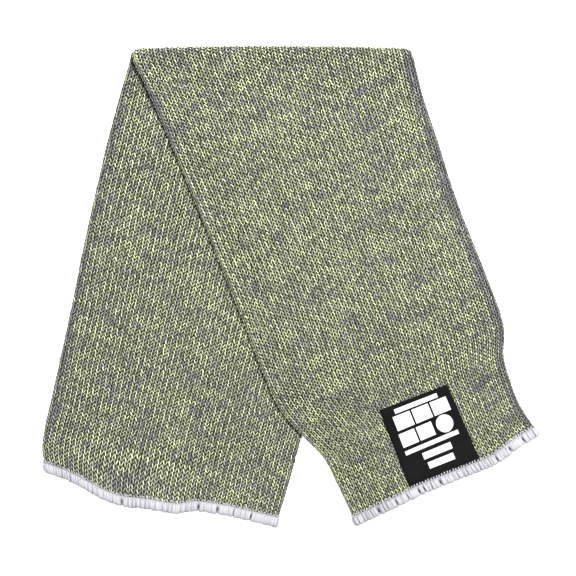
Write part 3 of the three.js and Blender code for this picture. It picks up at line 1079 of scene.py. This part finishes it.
low = add_node(
    tree, "ShaderNodeMapRange", {"interpolation_type": "SMOOTHSTEP"},
    Value=parts.outputs["Y"], From_Min=0.26, From_Max=0.0,
)
tone = add_node(
    tree, "ShaderNodeMix", {"data_type": "RGBA"},
    i0=low.outputs[0], i6=tone.outputs[2], i7=linear("#95949b"),
)
# Painted shade: the bed in a slot between two turns is mixed to near black.
colour = add_node(
    tree, "ShaderNodeMix", {"data_type": "RGBA"},
    i0=slot_shade.outputs["Fac"], i6=tone.outputs[2], i7=linear("#1e1d22"),
)
tree.links.new(colour.outputs[2], shader.inputs["Base Color"])
bump = add_node(tree, "ShaderNodeBump", Strength=0.35, Distance=0.0001, Height=twist.outputs[0])
tree.links.new(bump.outputs["Normal"], shader.inputs["Normal"])
shader.inputs["Roughness"].default_value = 0.75
shader.inputs["Specular IOR Level"].default_value = 0.3
for piece in (arm_hem, wrist_hem):
    piece.data.materials.append(overlock_thread)

# %% [markdown]
# ## The label
#
# A small label of black woven satin is caught under the wrist hem. It carries plain white bars,
# blocks and a disc, which say nothing. It is a grid laid on the top face by the same map, so
# that it follows the cloth, with the cut edges turned down a little onto the stitches.

# %% Label
LABEL_WIDTH = 36.4
LABEL_FLARE = 0.04
LABEL_LENGTH = 38
LABEL_THICKNESS = 0.25
LABEL_CLEARANCE = 0.35
LABEL_TUCK = 0.9
LABEL_EDGE_DIP = 0.12

deselect()
bpy.ops.mesh.primitive_grid_add(x_subdivisions=26, y_subdivisions=28, size=1)
label = bpy.context.object
label.name = "woven_label"
label.data.uv_layers[0].name = "sheet"
flat = vertex_places(label.data)
end = SLEEVE_LENGTH / 2 - HEM_DEPTH - LABEL_CLEARANCE + LABEL_TUCK
label_travel = end - LABEL_LENGTH / 2 - flat[:, 1] * LABEL_LENGTH
line = section(FRONT, (label_travel - BEND_HALF) / HALF_RUN)
round_length = 2 * line["width"] + (math.pi - 2) * line["edge"]
label_widths = LABEL_WIDTH * (1 - LABEL_FLARE * flat[:, 1])
label_around = (line["middle"] - flat[:, 0] * label_widths) / round_length
edge = np.maximum(np.abs(flat[:, 0]), np.abs(flat[:, 1])) * 2
label_height = LABEL_CLEARANCE + LABEL_THICKNESS - LABEL_EDGE_DIP * rise(edge, 0.93, 0.07)
set_places(label.data, on_sleeve(label_travel, label_around, label_height))
label_face_count = give_wall(label, LABEL_THICKNESS * 0.8 * MM)
lay_out_bake(label.data, label_face_count)
print("label", len(label.data.polygons), "faces", [round(d, 4) for d in label.dimensions])

# %% [markdown]
# Satin is woven with long floats, so it has a faint sheen and a very fine rib. The print is
# reckoned in millimetres on the label's own layout. Each bar or block is a box of half sizes
# around a middle, and a point is inside it where both its distances are short enough.

# %% Woven satin with a plain print
woven_satin, tree, shader = new_material("woven_satin")
sheet_uv = add_node(tree, "ShaderNodeUVMap", {"uv_map": "sheet"})
from_middle = add_node(
    tree, "ShaderNodeVectorMath", {"operation": "SUBTRACT"}, i0=sheet_uv.outputs["UV"], i1=(0.5, 0.5, 0)
)
in_mm = add_node(
    tree, "ShaderNodeVectorMath", {"operation": "MULTIPLY"},
    i0=from_middle.outputs[0], i1=(LABEL_WIDTH, LABEL_LENGTH, 0),
)

# Middle across, middle up, half width, half height.
BARS = [
    (0.0, 15.7, 11.4, 1.1),
    (-8.9, 10.0, 4.5, 3.6),
    (1.0, 10.0, 4.4, 3.6),
    (10.7, 10.0, 4.3, 3.6),
    (-9.7, 1.5, 4.1, 3.3),
    (-0.6, 1.5, 4.0, 3.3),
    (0.0, -4.4, 14.0, 0.9),
    (0.9, -8.5, 7.4, 1.4),
    (0.9, -13.0, 6.6, 1.4),
]
DISC = (9.4, 1.4, 4.2)

ink = add_node(
    tree, "ShaderNodeVectorMath", {"operation": "DISTANCE"},
    i0=in_mm.outputs[0], i1=(DISC[0], DISC[1], 0),
)
ink = add_node(tree, "ShaderNodeMath", {"operation": "SUBTRACT"}, i0=DISC[2], i1=ink.outputs["Value"])
for x, y, half_width, half_height in BARS:
    off = add_node(
        tree, "ShaderNodeVectorMath", {"operation": "SUBTRACT"}, i0=in_mm.outputs[0], i1=(x, y, 0)
    )
    off = add_node(tree, "ShaderNodeVectorMath", {"operation": "ABSOLUTE"}, i0=off.outputs[0])
    off = add_node(
        tree, "ShaderNodeVectorMath", {"operation": "SUBTRACT"},
        i0=(half_width, half_height, 0), i1=off.outputs[0],
    )
    sides = add_node(tree, "ShaderNodeSeparateXYZ", Vector=off.outputs[0])
    inside = add_node(
        tree, "ShaderNodeMath", {"operation": "MINIMUM"}, i0=sides.outputs["X"], i1=sides.outputs["Y"]
    )
    ink = add_node(
        tree, "ShaderNodeMath", {"operation": "MAXIMUM"}, i0=ink.outputs[0], i1=inside.outputs[0]
    )
sharp = add_node(tree, "ShaderNodeMapRange", Value=ink.outputs[0], From_Min=-0.06, From_Max=0.06)
behind = add_node(tree, "ShaderNodeAttribute", {"attribute_name": "behind"})
face_only = add_node(
    tree, "ShaderNodeMath", {"operation": "SUBTRACT", "use_clamp": True},
    i0=sharp.outputs[0], i1=behind.outputs["Fac"],
)
colour = add_node(
    tree, "ShaderNodeMix", {"data_type": "RGBA"},
    i0=face_only.outputs[0], i6=linear("#09080a"), i7=linear("#dcdcde"),
)
tree.links.new(colour.outputs[2], shader.inputs["Base Color"])
rib = add_node(
    tree, "ShaderNodeTexWave", {"bands_direction": "Y"},
    Vector=in_mm.outputs[0], Scale=0.8, Distortion=0.3,
)
bump = add_node(tree, "ShaderNodeBump", Strength=0.15, Distance=0.0001, Height=rib.outputs["Fac"])
tree.links.new(bump.outputs["Normal"], shader.inputs["Normal"])
shader.inputs["Roughness"].default_value = 0.6
shader.inputs["Specular IOR Level"].default_value = 0.05
label.data.materials.append(woven_satin)

# %% [markdown]
# ## Putting it on the frame
#
# A sleeve has no joint, so every piece rides on the one body. The solids stay in the model for
# its collision, hidden behind the pieces that stand for them. The patterns that were copied
# from are removed.

# %% Frame
for pattern in (leg, turn, bead):
    bpy.data.objects.remove(pattern)
for piece in (ground, *stitches):
    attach(piece, "root")
for piece in (arm_hem, wrist_hem):
    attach(piece, "root")
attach(label, "root")
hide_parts("knit_tube")
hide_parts("upper_arm_hem")
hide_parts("wrist_hem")
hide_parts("label")
